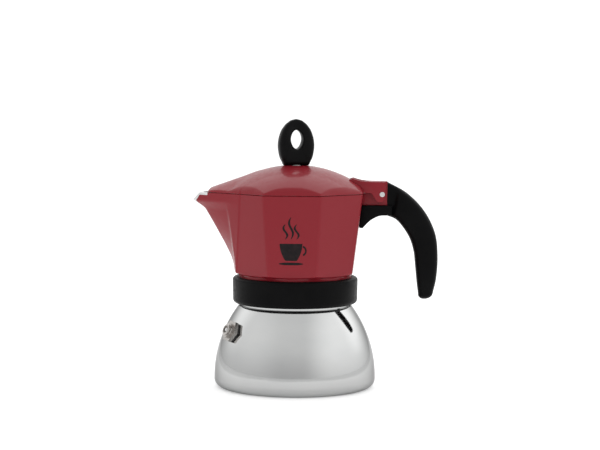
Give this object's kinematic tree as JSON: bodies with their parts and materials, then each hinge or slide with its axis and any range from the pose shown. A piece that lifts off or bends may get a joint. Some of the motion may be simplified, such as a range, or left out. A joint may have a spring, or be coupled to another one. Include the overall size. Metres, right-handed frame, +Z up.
{
  "type": "moka pot",
  "caption": "Stove-top moka pot: domed steel boiler, screw-on faceted jug with spout, hinged lid with ring knob, curved handle and spring safety valve.",
  "frame": {"origin": "centre of the base's underside, where the pot's axis meets the surface it stands on", "axes": "+Z up along the pot's axis, +X towards the handle, -X towards the spout"},
  "size_m": [0.1431, 0.094, 0.156],
  "materials": {
    "black_plastic": "satin black heat-proof plastic",
    "brass_nickel": "nickel-washed brass",
    "heat_aluminium": "bare aluminium",
    "knob_plastic": "satin black heat-proof plastic",
    "red_enamel": "glossy red coating on cast aluminium",
    "seal_rubber": "white silicone rubber",
    "spring_steel": "drawn spring wire",
    "steel_plain": "plain stainless steel",
    "steel_polished": "mirror-polished stainless steel",
    "valve_rubber": "black rubber"
  },
  "bodies": {
    "boiler": {"boiler_shell": "steel_polished", "base_cap": "steel_polished", "heat_disc": "heat_aluminium", "valve_body": "brass_nickel", "valve_gasket": "valve_rubber", "valve_nut": "brass_nickel", "valve_cap": "brass_nickel", "valve_spring": "spring_steel"},
    "valve_piston": {"valve_piston": "steel_plain", "valve_seal": "valve_rubber"},
    "funnel": {"funnel": "heat_aluminium", "funnel_strainer": "heat_aluminium"},
    "seal_ring": {"gasket": "seal_rubber"},
    "collector": {"collector_jug": "red_enamel", "filter_plate": "heat_aluminium", "collar_ring": "black_plastic", "handle": "black_plastic", "handle_screw": "steel_plain", "hinge_pin": "steel_plain"},
    "lid": {"lid": "red_enamel", "knob": "knob_plastic", "knob_insert": "brass_nickel", "knob_washer": "steel_plain", "knob_screw": "steel_plain"}
  },
  "joints": [
    {"name": "valve_lift", "type": "slide", "parent": "boiler", "child": "valve_piston", "axis": [-0.7667, -0.4979, 0.4052], "range_m": [0, 0.0012], "stiffness_N_per_m": 2500, "springref_m": -0.0008, "deforming": ["valve_spring"]},
    {"name": "funnel_lift", "type": "slide", "parent": "boiler", "child": "funnel", "axis": [0, 0, 1], "range_m": [0, 0.0045]},
    {"name": "collector_lift", "type": "slide", "parent": "boiler", "child": "seal_ring", "axis": [0, 0, 1], "range_m": [0, 0.0086]},
    {"name": "collector_turn", "type": "hinge", "parent": "seal_ring", "child": "collector", "pos_m": [0, 0, 0], "axis": [0, 0, 1], "range_deg": [0, 1008]},
    {"name": "lid_open", "type": "hinge", "parent": "collector", "child": "lid", "pos_m": [0.0503, 0, 0.113], "axis": [0, 1, 0], "range_deg": [0, 100]}
  ],
  "couplings": [
    {"joint": "collector_lift", "follows": "collector_turn", "m_per_rad": 0.00047746},
    {"joint": "funnel_lift", "follows": "collector_turn", "m_per_rad": 0.00023873}
  ]
}
